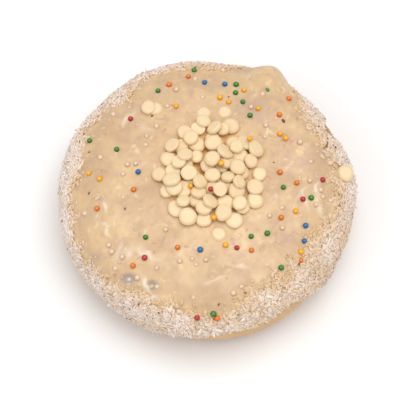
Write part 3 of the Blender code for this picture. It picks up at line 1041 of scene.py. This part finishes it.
@dataclass
class Coconut:
    """The coconut that sticks in the icing's edge: long thin shreds with crumbs between them."""

    coat: Coat = Coat()
    shreds: int = 6800
    crumbs: int = 15000
    seed: int = 61
    # How far above the icing the highest lie, and how far they tip, as a standard deviation in radians
    shred_lay: tuple[float, float] = (0.42 * MM, 0.16)
    crumb_lay: tuple[float, float] = (0.36 * MM, 0.3)
    bristle: float = 0.2  # how much further those that tip the most stand up
    tries_each: int = 12
    stations: tuple[float, float] = (-24.0, 100.0)
    # The upper edge's ragged line: the height and count of its waves, and the count of those that shift them
    ragged: tuple = ((4.0, 23.0, 7.0), (2.5, 61.0, 13.0))
    ragged_shift: float = 2.0
    edge_above: float = 2.0
    edge_fade: float = 2.4
    # Strewn past the edge: the share, and how far they reach
    strewn: tuple[float, float] = (0.015, 14.0)
    # Past the coating's lower edge: how far, and how unevenly
    hanging: tuple[float, float] = (0.5, 0.8)
    # On the drip: the share that is left out, and the stretch as a share of the clear one
    drip_bare: tuple[float, float] = (0.97, 0.75)
    # Turn and station of the stray drop on the edge, and how far from them there is no coconut
    bald: tuple[float, float, float, float] = (5.5, 41.0, 3.9, 11.5)
    stains: Waves = Waves(seed=62, length=9.0 * MM, height=0.14, count=16)
    # Turn, half width and how much more toasted
    tints: tuple = ((-42.0, 26.0, 0.3), (172.0, 34.0, -0.2))
    # The icing's tint near the upper edge: its strength, where it starts below the edge and its fade
    edge_tint: tuple[float, float, float] = (0.35, 11.0, 4.0)
    strewn_tint: float = 0.5

    def places(self, draw: np.random.Generator, count: int) -> tuple[Array, Array, Array]:
        """Random places in the coconut's band, thinning out across its upper edge.

        Args:
            draw: the random source.
            count: how many places.

        Returns:
            Turns, stations, and how deep inside the band each place is, from 0 to 1.
        """
        tries = self.tries_each * count
        turn = draw.uniform(-180.0, 180.0, tries)
        station = draw.uniform(*self.stations, tries)
        ragged = sines(turn, [
            (height, waves, sines(turn, [(self.ragged_shift, shifts, 0.0)]))
            for height, waves, shifts in self.ragged
        ])
        past = station - self.coat.coconut_edge(turn) - ragged + self.edge_above
        share, reach = self.strewn
        inside = falloff(past, self.edge_fade) + share * np.exp(-np.maximum(past, 0.0) / reach)
        hang, uneven = self.hanging
        above = station > self.coat.lower_edge(turn) - hang + draw.normal(0.0, uneven, tries)
        share, width = self.drip_bare
        drip = share * bump(turn, self.coat.drip_turn, width * self.coat.drip_clear)
        stray_turn, stray_station, half_width, half_height = self.bald
        bald = np.hypot((turn - stray_turn) / half_width, (station - stray_station) / half_height) < 1.0
        kept = (draw.uniform(size=tries) < inside * (1.0 - drip)) & above & ~bald
        chosen = np.flatnonzero(kept)[:count]
        return turn[chosen], station[chosen], np.clip(inside[chosen], 0.0, 1.0)

    def shred_shape(self, draw: np.random.Generator) -> Array:
        """Grated strips, mostly 1 to 3 mm long.

        Args:
            draw: the random source.

        Returns:
            Their points, strip by strip.
        """
        length = draw.gamma(5.0, 0.4, self.shreds).clip(0.9, 4.2) * MM
        width = (0.4 + 1.5 * draw.beta(1.2, 2.4, self.shreds)) * MM
        thick = draw.uniform(0.1, 0.2, self.shreds) * MM
        return Strips.points(length, width, thick, draw)

    def crumb_shape(self, draw: np.random.Generator) -> tuple[Array, list[Array]]:
        """Broken bits: a cube's eight corners, each shifted at random, stretched along one way.

        Args:
            draw: the random source.

        Returns:
            Their points, bit by bit, and the faces of one.
        """
        corners = np.array([[x, y, z] for z in (-1, 1) for y in (-1, 1) for x in (-1, 1)], float)
        ranges = ((0.25, 0.75), (0.18, 0.42), (0.1, 0.2))
        size = np.stack([draw.uniform(*limits, self.crumbs) for limits in ranges], axis=1) * MM
        points = (corners + draw.normal(0.0, 0.25, (self.crumbs, 8, 3))) * size[:, None]
        faces = [[0, 2, 3, 1], [4, 5, 7, 6], [0, 1, 5, 4], [2, 6, 7, 3], [0, 4, 6, 2], [1, 3, 7, 5]]
        return points, [np.array(faces)]

    def scatter(self, name: str, shapes: Array, faces: list[Array], draw: np.random.Generator,
                lay: tuple[float, float]) -> None:
        """Lays shapes on the icing's edge, each turned at random and tipped a little.

        Those past the band's edge lie flat, half sunk and tinted by the icing.

        Args:
            name: the piece's name.
            shapes: the shapes' points, shape by shape.
            faces: one shape's faces.
            draw: the random source.
            lay: how far above the icing the highest lie, and how far they tip.
        """
        lift, pitch = lay
        turn, station, inside = self.places(draw, len(shapes))
        count = len(turn)
        normal = self.coat.body.outward(turn, station)
        spin = turned_about("z", draw.uniform(0.0, math.tau, count))
        lean = draw.normal(0.0, 1.0, count)
        tip = turned_about("y", pitch * (lean + self.bristle * lean**3) * (0.2 + 0.8 * inside))
        height = draw.uniform(-0.1, 1.0, count) * lift * (0.1 + 0.9 * inside)
        middle = self.coat.on_top(turn, station) + normal * height[:, None]
        strength, start, fade = self.edge_tint
        near_edge = falloff(self.coat.coconut_edge(turn) - station - start, fade)
        tint = draw.beta(0.7, 2.2, count) + strength * near_edge + self.strewn_tint * (1.0 - inside)
        tint = tint + self.stains.at(middle) + humps(turn, self.tints)
        marks = {"toasted": np.repeat(np.clip(tint, 0.0, 1.0), shapes.shape[1])}
        shapes = placed(shapes[:count], facing(normal) @ spin @ tip, middle)
        Piece.add(name, shapes, faces, COCONUT_FINISH, "icing", marks=marks)

    def build(self) -> None:
        """Adds the shreds and the crumbs."""
        draw = np.random.default_rng(self.seed)
        self.scatter("coconut_shreds", self.shred_shape(draw), Strips.faces(), draw, self.shred_lay)
        self.scatter("coconut_crumbs", *self.crumb_shape(draw), draw, self.crumb_lay)


@dataclass
class Husk:
    """Brown bits of coconut husk: a curved thread and specks at chosen places, and small ones in the band."""

    coat: Coat = Coat()
    # Turn, station, length, width in mm and direction in degrees; the first is the thread
    bits: tuple = (
        (18.0, 58.5, 4.2, 0.34, 68.0), (39.0, 88.0, 1.5, 0.8, 120.0), (129.0, 100.0, 0.9, 0.6, 20.0),
        (187.0, 68.0, 1.0, 0.45, 50.0), (202.0, 100.0, 0.9, 0.4, 80.0), (14.0, 119.0, 0.6, 0.3, 10.0),
        (76.0, 94.0, 0.6, 0.4, 0.0), (17.0, 47.0, 0.9, 0.5, 140.0), (28.0, 57.0, 0.8, 0.4, 30.0),
        (242.0, 36.5, 1.4, 0.35, 60.0), (275.0, 58.0, 0.9, 0.4, 60.0), (165.0, 62.0, 0.8, 0.4, 60.0),
    )
    small: int = 46
    seed: int = 91
    edge_fade: float = 2.0  # how gradually, across the coconut's edge, they climb on to it
    thickness: float = 0.22 * MM
    thread_curve: float = 0.9
    speck_curve: float = 0.15
    # How far above the icing they lie: on it, and how much further on the coconut
    rises: tuple[float, float] = (0.12 * MM, 0.5 * MM)

    def build(self) -> None:
        """Adds them, lying on the icing or on the coconut.

        Each is a strip along X, curved by a parabola, and turned to its direction.
        """
        draw = np.random.default_rng(self.seed)
        turn, station, length, width, way = np.array(self.bits).T
        spread = Coconut(coat=self.coat).places(draw, self.small)
        turn, station = np.concatenate([turn, spread[0]]), np.concatenate([station, spread[1]])
        length = np.concatenate([length, draw.uniform(0.4, 1.0, self.small)]) * MM
        width = np.concatenate([width, draw.uniform(0.2, 0.45, self.small)]) * MM
        way = np.concatenate([np.radians(way), draw.uniform(0.0, math.tau, self.small)])
        shapes = Strips.points(length, width, np.full_like(width, self.thickness), draw, bend=0.0, twist=0.3)
        curve = np.full((len(length), 1), self.speck_curve)
        curve[0] = self.thread_curve
        shapes[..., 1] += curve * shapes[..., 0] ** 2 / length[:, None]
        low, more = self.rises
        rise = low + more * falloff(station - self.coat.coconut_edge(turn), self.edge_fade)
        frames = facing(self.coat.body.outward(turn, station)) @ turned_about("z", way)
        shapes = placed(shapes, frames, self.coat.on_top(turn, station, rise))
        Piece.add("husk_bits", shapes, Strips.faces(), HUSK_FINISH, "icing")


@dataclass(frozen=True)
class Disc:
    """Where one drop lies, the matrix that turns it, and its size."""

    middle: Array
    frame: Array
    radius: float
    thickness: float


@dataclass
class Drops:
    """The white chocolate drops: a heap in the middle and a few strays on the icing."""

    coat: Coat = Coat()
    area: HeapArea = HeapArea()
    peak: float = 2.6 * MM
    count: int = 64
    seed: int = 119
    look_seeds: tuple[int, int] = (71, 73)  # of the heap's looks and of the strays'
    tries: int = 6
    radius: float = 2.45 * MM
    thickness: float = 1.75 * MM
    radius_range: tuple[float, float] = (0.86, 1.16)
    thickness_range: tuple[float, float] = (0.85, 1.15)
    most_tilt: float = 0.8
    ground_step: float = 0.4 * MM
    footing: float = 0.95  # the share of a drop's radius inside which the ground bears it
    brim: float = 0.4  # the share of the thickness that a drop still has at its rim
    # The search for a drop's tilt: rounds, slopes tried each way, and how much finer each round is
    search: tuple[int, int, float] = (6, 9, 0.4)
    lift: float = 0.4 * MM
    sink: float = 0.35 * MM
    flipped: float = 0.22
    columns: int = 28
    # The drop's section: rows of the dome and of the rounded edge, and the radii of the rows on the flat
    dome_rows: int = 10
    edge_rows: int = 5
    flat_rows: tuple[float, float] = (0.55, 0.25)
    widest: float = -0.12  # the height of the widest line, in thicknesses from the middle
    flat: float = 0.86  # the flat base's share of the radius
    # The outline's waves: how many and their share; the top's dent: its most depth and its width; the ring
    # of painted shade that looks darker near the edge: its radius and its width
    uneven: tuple = ((2, 0.035), (3, 0.02), (5, 0.01))
    dent: tuple[float, float] = (0.10, 0.45)
    ring: tuple[float, float] = (0.79, 0.07)
    most_warm: float = 0.7
    # Turn, station, share of the usual size, share of the thickness that shows, and how far they turn from
    # facing straight out of the icing (0) to facing straight up (1)
    strays: tuple = (
        (127.5, 91.0, 0.98, 0.95, 0.0), (124.3, 95.5, 0.98, 0.5, 0.0), (92.5, 115.5, 1.0, 0.35, 0.0),
        (76.0, 111.0, 0.95, 0.25, 0.0), (5.5, 39.5, 1.14, 0.95, 0.85), (-79.0, 127.0, 1.0, 0.35, 0.0),
    )

    def resting_plane(self, dx: Array, dy: Array, height: Array) -> tuple[float, float, float]:
        """The plane that rests on the points round a middle: the slopes whose highest contact is lowest.

        Args:
            dx: the points' distance along X from the middle.
            dy: the same along Y.
            height: the points' heights.

        Returns:
            The slopes along X and Y, and the plane's height at the middle.
        """
        best, span = np.zeros(2), self.most_tilt
        rounds, tries, finer = self.search
        for _ in range(rounds):
            line = np.linspace(-span, span, tries)
            slopes = np.stack(np.meshgrid(best[0] + line, best[1] + line), axis=-1).reshape(-1, 2)
            slopes = np.clip(slopes, -self.most_tilt, self.most_tilt)
            levels = (height - slopes[:, :1] * dx - slopes[:, 1:] * dy).max(axis=1)
            best = slopes[levels.argmin()]
            span *= finer
        return best[0], best[1], levels.min()

    @cached_property
    def heap(self) -> list[Disc]:
        """The heap's drops, dropped one by one on the icing and on each other, as in the solids.

        Returns:
            The drops.
        """
        draw = np.random.default_rng(self.seed)
        middle, reach = np.array(self.area.middle), np.array(self.area.reach)
        span = reach.max() + 2.0 * self.radius
        line = np.arange(-span, span, self.ground_step)
        x, y = np.meshgrid(line + middle[0], line + middle[1], indexing="ij")
        bare = self.coat.height(x, y) + self.lift
        ground = bare.copy()
        drops = []
        for _ in range(self.count):
            radius = self.radius * draw.uniform(*self.radius_range)
            thickness = self.thickness * draw.uniform(*self.thickness_range)
            options = []
            for _ in range(self.tries):
                away, angle = math.sqrt(draw.uniform()), draw.uniform(0.0, math.tau)
                px, py = middle + reach * away * np.array([math.cos(angle), math.sin(angle)])
                near = np.hypot(x - px, y - py) < self.footing * radius
                slope_x, slope_y, level = self.resting_plane(x[near] - px, y[near] - py, ground[near])
                wanted = self.peak * (1.0 - away**2)
                options.append((level - bare[near].mean() - wanted, px, py, slope_x, slope_y, level))
            _, px, py, slope_x, slope_y, level = min(options)
            normal = np.array([-slope_x, -slope_y, 1.0]) / math.hypot(slope_x, slope_y, 1.0)
            place = np.array([px, py, level]) + normal * thickness * 0.5
            away = np.hypot(x - px, y - py)
            bulge = (1.0 - self.brim) * np.sqrt(np.clip(1.0 - (away / radius) ** 2, 0.0, 1.0))
            top = level + slope_x * (x - px) + slope_y * (y - py) + thickness * (self.brim + bulge)
            higher = (away < radius) & (top > ground)
            ground[higher] = top[higher]
            drops.append(Disc(place, facing(normal), radius, thickness))
        return drops

    def stray_discs(self) -> list[Disc]:
        """The stray drops, each set in the icing as deep as its share says.

        Returns:
            The drops.
        """
        drops = []
        for turn, station, size, rise, lean in self.strays:
            normal = (1.0 - lean) * self.coat.body.outward(turn, station) + lean * np.array([0.0, 0.0, 1.0])
            middle = self.coat.on_top(turn, station, (rise - 0.5) * self.thickness)
            drops.append(Disc(middle, facing(normal), self.radius * size, self.thickness))
        return drops

    def profile(self) -> tuple[Array, Array]:
        """Half the section of a drop of radius 1 and thickness 1, from the top's middle to the base's.

        The dome is radius = sin(a)^0.36 and height = (0.5 - widest) cos(a)^0.7 above its widest line, and its
        flat base has an edge rounded as a quarter ellipse.

        Returns:
            Radii and heights, from top to base.
        """
        dome, edge = (steps(rows)[:, 0] * math.pi / 2.0 for rows in (self.dome_rows, self.edge_rows))
        edge_radii = self.flat + (1.0 - self.flat) * np.cos(edge)
        dome_heights = self.widest + (0.5 - self.widest) * np.cos(dome) ** 0.7
        edge_heights = self.widest - (0.5 + self.widest) * np.sin(edge)
        radii = np.concatenate([np.sin(dome) ** 0.36, edge_radii, self.flat_rows])
        return radii, np.concatenate([dome_heights, edge_heights, np.full(len(self.flat_rows), -0.5)])

    def shapes(self, drops: list[Disc], draw: np.random.Generator, flipped: float) -> Array:
        """All drops: the profile carried round, with an uneven outline, a dented top and some upside down.

        Args:
            drops: where they lie.
            draw: the random source.
            flipped: the share that lies upside down.

        Returns:
            The points, drop by drop, each as pole, rows and pole.
        """
        count = len(drops)
        radii, heights = self.profile()
        angle = np.arange(self.columns) * math.tau / self.columns
        phases = draw.uniform(0.0, math.tau, (count, 3, 1))
        uneven = 1.0 + sum(
            share * np.cos(waves * angle + phases[:, place])
            for place, (waves, share) in enumerate(self.uneven)
        )
        across = radii[None, :, None] * uneven[:, None]
        depth, width = self.dent
        dent = draw.uniform(0.0, depth, (count, 1, 1)) * bell(across, width)
        z = heights[None, :, None] - np.where(heights[None, :, None] > 0.0, dent, 0.0)
        rows = np.stack([across * np.cos(angle), across * np.sin(angle), z], axis=-1).reshape(count, -1, 3)
        poles = np.zeros((count, 2, 3))
        poles[:, 0, 2] = 0.5 - dent[:, 0, 0]
        poles[:, 1, 2] = -0.5
        shapes = np.concatenate([poles[:, :1], rows, poles[:, 1:]], axis=1)
        flip = draw.uniform(size=count) < flipped
        shapes = np.where(flip[:, None, None], shapes * np.array([1.0, -1.0, -1.0]), shapes)
        size = np.array([[drop.radius, drop.radius, drop.thickness] for drop in drops])
        frames, middles = np.stack([drop.frame for drop in drops]), np.stack([drop.middle for drop in drops])
        return placed(shapes * size[:, None], frames, middles)

    def add(self, name: str, drops: list[Disc], seed: int, flipped: float, finish: Finish, slot: str,
            nodes: Sequence[str]) -> None:
        """Adds one piece of drops.

        Args:
            name: the piece's name.
            drops: where they lie.
            seed: the random seed of their shapes, the next one being that of their colours.
            flipped: the share that lies upside down.
            finish: their finish.
            slot: the record's slot.
            nodes: the solids that it stands for.
        """
        shapes = self.shapes(drops, np.random.default_rng(seed), flipped)
        radii, heights = self.profile()
        draw = np.random.default_rng(seed + 1)
        warm = np.repeat(draw.uniform(0.0, self.most_warm, len(drops)), shapes.shape[1])
        # The ring is painted shade: a darker band where the top of each drop curves down to its edge
        middle, width = self.ring
        ring = bell(radii - middle, width) * (heights > 0.0)
        ring = np.concatenate([[0.0], np.repeat(ring, self.columns), [0.0]])
        marks = {"warm": warm, "ring": np.outer(draw.uniform(0.2, 1.0, len(drops)), ring)}
        Piece.add(name, shapes, Piece.ball_faces(len(radii), self.columns), finish, slot, nodes, marks)

    def build(self) -> None:
        """Adds the heap, sunk a little into the icing, and the strays.

        None of the strays lies upside down.
        """
        sunk = [replace(drop, middle=drop.middle - [0.0, 0.0, self.sink]) for drop in self.heap]
        heap_seed, stray_seed = self.look_seeds
        self.add("white_drops", sunk, heap_seed, self.flipped, DROP_FINISH, "drops", ["drop_heap"])
        self.add("stray_drops", self.stray_discs(), stray_seed, 0.0, STRAY_FINISH, "icing", ["icing"])


@dataclass
class Pearls:
    """The sugar pearls: coloured ones where the solids have them, and cream ones between."""

    coat: Coat = Coat()
    drops: Drops = field(default_factory=Drops)
    radius: float = 0.92 * MM
    size_range: tuple[float, float] = (0.9, 1.06)
    rise: float = 0.35
    reach: float = 40.5 * MM
    spacing: float = 2.0 * MM
    heap_clearance: float = 1.7  # in drops' radii
    stray_clearance: float = 1.2  # in pearls' radii
    drift: float = 58.0
    bias: float = 0.22
    seed: int = 35
    colour_seed: int = 81
    rolled_seed: int = 83
    cream_seed: int = 84
    size_seed: int = 85
    sunk_seed: int = 86
    edge_pearls: tuple = ((-94.0, 42.0), (-87.5, 48.0), (-86.0, 43.0), (159.0, 56.0))
    edge_colours: tuple = (Shell.RED, Shell.GREEN, Shell.ORANGE, Shell.GREEN)
    counts: tuple = (
        (Shell.GREEN, 14), (Shell.ORANGE, 13), (Shell.YELLOW, 12), (Shell.RED, 5), (Shell.BLUE, 6)
    )
    # Those that have rolled on to the heap, then where they touch a drop: how far up it and how far out
    rolled: tuple = (
        Shell.YELLOW, Shell.YELLOW, Shell.RED, Shell.YELLOW, Shell.ORANGE, Shell.YELLOW, Shell.CREAM,
        Shell.ORANGE,
    )
    rolled_touch: tuple[float, float] = (0.12, 0.75)
    cream: int = 46
    cream_rise: tuple[float, float] = (-0.5, 0.25)
    columns: int = 14
    rows: int = 9
    # The height in radii where the rim's darker colour, painted shade, starts, and how far it fades in
    rim: tuple[float, float] = (0.88, 0.5)

    def scattered(self, seed: int, count: int, taken: list[Array]) -> list[Array]:
        """Places drawn at random on the icing, thicker towards the drift, clear of heap, strays and others.

        Args:
            seed: the random seed.
            count: how many places.
            taken: X and Y of the pearls that are there already.

        Returns:
            X and Y of each place.
        """
        draw = np.random.default_rng(seed)
        heap = self.drops.area
        margin = 1.0 + self.heap_clearance * self.drops.radius / min(heap.reach)
        apart = self.drops.radius + self.stray_clearance * self.radius
        strays = [self.coat.body.surface(turn, station, 0.0)[:2] for turn, station, *_ in self.drops.strays]
        found = []
        while len(found) < count:
            angle, away = draw.uniform(0.0, math.tau), math.sqrt(draw.uniform())
            lean = away * math.cos(angle - math.radians(self.drift))
            if draw.uniform() > 1.0 - self.bias + self.bias * lean:
                continue
            place = self.reach * away * np.array([math.cos(angle), math.sin(angle)])
            near = any(np.linalg.norm(place - other) < self.spacing for other in found + taken)
            near_stray = any(np.linalg.norm(place - other) < apart for other in strays)
            if heap.away(place) >= margin and not near and not near_stray:
                found.append(place)
        return found

    def on_icing(self, places: list[Array], rise: Array) -> Array:
        """Middles of pearls at places on the icing's top, their rise above it given in radii."""
        flat = np.array(places)
        return np.column_stack([flat, self.coat.height(*flat.T) + rise * self.radius])

    def on_edge(self) -> Array:
        """Middles of the pearls that lie apart, at the edge."""
        turn, station = np.array(self.edge_pearls).T
        return self.coat.on_top(turn, station, self.rise * self.radius)

    def in_heap(self) -> Array:
        """Middles of the pearls that have rolled on to the heap: each beside a drop's rim.

        Returns:
            The middles.
        """
        draw = np.random.default_rng(self.rolled_seed)
        up, out = self.rolled_touch
        found = []
        for number in draw.choice(len(self.drops.heap), len(self.rolled), replace=False):
            drop = self.drops.heap[number]
            angle = draw.uniform(0.0, math.tau)
            side = drop.frame @ np.array([math.cos(angle), math.sin(angle), up])
            found.append(drop.middle + side * (drop.radius + out * self.radius))
        return np.array(found)

    def balls(self, middles: Array) -> Array:
        """Balls of slightly different sizes: latitude and longitude rings round each middle.

        Args:
            middles: their middles.

        Returns:
            The points, ball by ball, each as pole, rows and pole.
        """
        lean = np.linspace(0.0, math.pi, self.rows + 2)[1:-1, None]
        angle = np.arange(self.columns)[None] * math.tau / self.columns
        across, up = np.sin(lean), np.cos(lean) * np.ones_like(angle)
        ring = np.stack([across * np.cos(angle), across * np.sin(angle), up], axis=-1)
        ball = np.concatenate([[[0.0, 0.0, 1.0]], ring.reshape(-1, 3), [[0.0, 0.0, -1.0]]])
        draw = np.random.default_rng(self.size_seed)
        size = self.radius * draw.uniform(*self.size_range, len(middles))
        return ball[None] * size[:, None, None] + middles[:, None]

    def build(self) -> None:
        """Adds one piece for each colour.

        The places come first, in the order of the colours: scattered, at the edge, on the heap and cream.
        """
        colours = [shell for shell, count in self.counts for _ in range(count)]
        np.random.default_rng(self.colour_seed).shuffle(colours)
        places = self.scattered(self.seed, len(colours), [])
        cream = self.scattered(self.cream_seed, self.cream, places)
        sunk = np.random.default_rng(self.sunk_seed).uniform(*self.cream_rise, self.cream)
        colours += [*self.edge_colours, *self.rolled, *[Shell.CREAM] * self.cream]
        middles = np.concatenate([
            self.on_icing(places, self.rise), self.on_edge(), self.in_heap(), self.on_icing(cream, sunk),
        ])
        faces = Piece.ball_faces(self.rows, self.columns)
        start, fade = self.rim
        for shell in Shell:
            own = middles[[colour is shell for colour in colours]]
            shapes = self.balls(own)
            # Painted shade: how far down its side each point is, read as the rim colour's share
            rim = np.clip((start - (shapes[..., 2] - own[:, None, 2]) / self.radius) / fade, 0.0, 1.0)
            name = f"{shell.value}_pearls"
            Piece.add(name, shapes, faces, PEARL_FINISHES[shell], "icing", ["icing"], {"rim": rim})


@dataclass
class Studio:
    """Floor, lights and camera: a white sweep, soft light from above, and the photo's steep view."""

    view_height: float = 68.0
    lens: float = 110.0
    frame_width: float = 130.6 * MM
    target: tuple[float, float, float] = (-2.16 * MM, -1.04 * MM, 15.76 * MM)
    floor_size: float = 2.0
    floor_cells: int = 40
    floor_drop: float = 0.1 * MM
    # The floor's dish: its height, and where it starts as a share of the floor's size
    dish: tuple[float, float] = (0.05, 0.35)
    # Each light's name, place, side and power in watts
    lights: tuple = (("key", (0.14, 0.02, 0.8), 0.6, 3.7), ("fill", (-0.5, -0.3, 0.6), 0.6, 1.1))
    sky: float = 0.6

    def floor(self) -> None:
        """Adds the floor: a white sheet just under the base, shaped as a shallow dish far out.

        It is a square grid, and the dish rises as the square of the distance past its start.
        """
        cells, side = self.floor_cells, self.floor_cells + 1
        line = np.linspace(-0.5, 0.5, side) * self.floor_size
        x, y = np.meshgrid(line, line, indexing="ij")
        height, start = self.dish
        z = height * np.clip(np.hypot(x, y) / self.floor_size - start, 0.0, 1.0) ** 2 - self.floor_drop
        points = np.stack([x, y, z], axis=-1).reshape(-1, 3)
        corner = (np.arange(cells)[:, None] * side + np.arange(cells)[None]).ravel()
        faces = np.stack([corner, corner + side, corner + side + 1, corner + 1], axis=1)
        mesh = bpy.data.meshes.new("floor")
        mesh.from_pydata(points.tolist(), [], faces.tolist())
        material = bpy.data.materials.new("white_sweep")
        material.use_nodes = True
        inputs = {"Base Color": (0.92, 0.92, 0.92, 1.0), "Roughness": 0.9, "Specular IOR Level": 0.1}
        Link(material.node_tree).fill(material.node_tree.nodes["Principled BSDF"], inputs)
        mesh.materials.append(material)
        made = bpy.data.objects.new("floor", mesh)
        bpy.context.scene.collection.objects.link(made)

    def light(self, name: str, place: tuple[float, float, float], size: float, power: float) -> None:
        """Adds a square light that shines on the doughnut.

        Args:
            name: its name.
            place: where it is.
            size: its side.
            power: its power in watts.
        """
        lamp = bpy.data.lights.new(name, "AREA")
        lamp.size = size
        lamp.energy = power
        made = bpy.data.objects.new(name, lamp)
        made.location = place
        made.rotation_euler = (-Vector(place)).to_track_quat("-Z", "Y").to_euler()
        bpy.context.scene.collection.objects.link(made)

    def camera(self) -> None:
        """Adds the camera.

        It stands far enough off for the lens to give the frame's width at the doughnut.
        """
        data = bpy.data.cameras.new("camera")
        data.lens = self.lens
        distance = self.lens / data.sensor_width * self.frame_width
        angle = math.radians(self.view_height)
        back = Vector((0.0, -math.cos(angle), math.sin(angle)))
        made = bpy.data.objects.new("camera", data)
        made.location = Vector(self.target) + back * distance
        made.rotation_euler = (-back).to_track_quat("-Z", "Y").to_euler()
        bpy.context.scene.collection.objects.link(made)
        bpy.context.scene.camera = made

    def build(self) -> None:
        """Adds everything, and a white sky that fills the shadows.

        The camera sees the sky at full strength, and the doughnut is lit by a part of it.
        """
        self.floor()
        for light in self.lights:
            self.light(*light)
        self.camera()
        world = bpy.data.worlds.new("sky")
        world.use_nodes = True
        link = Link(world.node_tree)
        seen = link.node("ShaderNodeLightPath").outputs["Is Camera Ray"]
        strength = link.maths("MULTIPLY_ADD", seen, 1.0 - self.sky, self.sky)
        inputs = {"Color": (1.0, 1.0, 1.0, 1.0), "Strength": strength}
        link.fill(world.node_tree.nodes["Background"], inputs)
        bpy.context.scene.world = world
        bpy.context.scene.view_settings.view_transform = "Standard"


def main() -> None:
    """Builds the doughnut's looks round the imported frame."""
    logging.basicConfig(level=logging.INFO, format="%(name)s: %(message)s")
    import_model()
    coat = Coat()
    drops = Drops(coat=coat)
    Dough(body=coat.body).build()
    Icing(coat=coat).build()
    Coconut(coat=coat).build()
    Husk(coat=coat).build()
    drops.build()
    Pearls(coat=coat, drops=drops).build()
    Studio().build()


if __name__ == "__main__":
    main()
